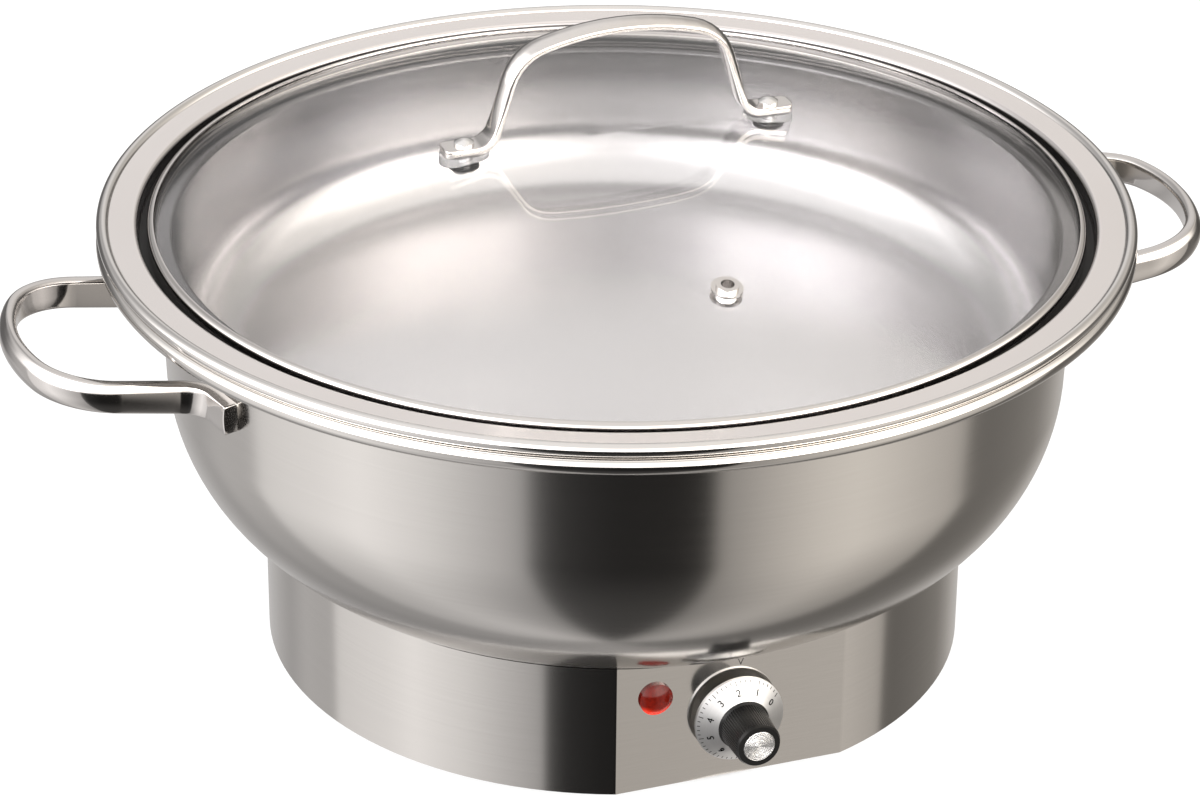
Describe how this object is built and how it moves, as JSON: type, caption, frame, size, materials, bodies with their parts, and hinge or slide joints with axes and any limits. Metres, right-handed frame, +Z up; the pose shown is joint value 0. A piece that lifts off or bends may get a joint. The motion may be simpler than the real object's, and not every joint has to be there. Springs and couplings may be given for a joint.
{
  "type": "electric chafing dish",
  "caption": "Round electric chafing dish: glass-lidded food pan hung in a water bowl on a base with a heater, thermostat knob and pilot lamp.",
  "frame": {"origin": "middle of the base, on the plane the feet stand on", "axes": "+Z up, the control panel faces -Y, the side handles lie along +X and -X, turned about 3 degrees clockwise from above"},
  "size_m": [0.4808, 0.4006, 0.2629],
  "materials": {
    "base_steel": "satin, brushed round",
    "bowl_steel": "satin wall with a polished rim",
    "pan_steel": "satin inside with a polished rim",
    "plate_steel": "plain",
    "handle_steel": "polished",
    "band_steel": "polished",
    "strap_steel": "polished",
    "rivet_steel": "polished",
    "eyelet_steel": "polished",
    "zinc_steel": "zinc plated",
    "glass": "clear",
    "silicone": "matt",
    "rubber": "matt",
    "heater_metal": "cast",
    "element_steel": "dark",
    "cutout_plastic": "ceramic look",
    "control_plastic": "moulded",
    "block_plastic": "moulded",
    "wire_plastic": "sleeved",
    "copper": "drawn",
    "black_plastic": "moulded",
    "knob_plastic": "fine ribs",
    "dial_metal": "satin with printed marks",
    "cap_metal": "spun",
    "lamp_plastic": "moulded",
    "lens_plastic": "clear red"
  },
  "bodies": {
    "base": {"base_shell": "base_steel", "bottom_plate": "plate_steel", "rubber_feet": "rubber", "foot_screws": "zinc_steel", "foot_nuts": "zinc_steel", "plate_screws": "zinc_steel", "shell_brackets": "zinc_steel", "bowl_studs": "zinc_steel", "stud_nuts": "zinc_steel", "water_bowl": "bowl_steel", "left_handle": "handle_steel", "right_handle": "handle_steel", "heater_plate": "heater_metal", "heating_element": "element_steel", "heater_stud": "zinc_steel", "clamp_bar": "zinc_steel", "heater_nut": "zinc_steel", "overheat_cutout": "cutout_plastic", "thermostat_body": "control_plastic", "thermostat_nut": "zinc_steel", "lamp_body": "lamp_plastic", "lamp_nut": "zinc_steel", "lamp_lens": "lens_plastic", "sensor_bulb": "copper", "bulb_clip": "zinc_steel", "terminal_block": "block_plastic", "block_screws": "zinc_steel", "internal_wires": "wire_plastic", "cable_gland": "black_plastic", "gland_nut": "black_plastic"},
    "knob": {"knob_body": "knob_plastic", "dial_skirt": "dial_metal", "knob_cap": "cap_metal", "knob_set_screw": "zinc_steel", "thermostat_shaft": "zinc_steel"},
    "pan": {"food_pan": "pan_steel"},
    "lid": {"lid_glass": "glass", "lid_band": "band_steel", "lid_gasket": "silicone", "lid_handle": "strap_steel", "lid_pads": "silicone", "lid_rivets": "rivet_steel", "lid_washers": "silicone", "lid_nuts": "rivet_steel", "vent_eyelet": "eyelet_steel"}
  },
  "joints": [
    {"name": "knob_turn", "type": "hinge", "parent": "base", "child": "knob", "pos_m": [0.002, -0.1313, 0.0317], "axis": [0, 1, 0], "range_deg": [-60, 210]},
    {"name": "pan_lift", "type": "slide", "parent": "base", "child": "pan", "axis": [0, 0, 1], "range_m": [0, 0.12]},
    {"name": "lid_lift", "type": "slide", "parent": "pan", "child": "lid", "axis": [0, 0, 1], "range_m": [0, 0.15]}
  ]
}
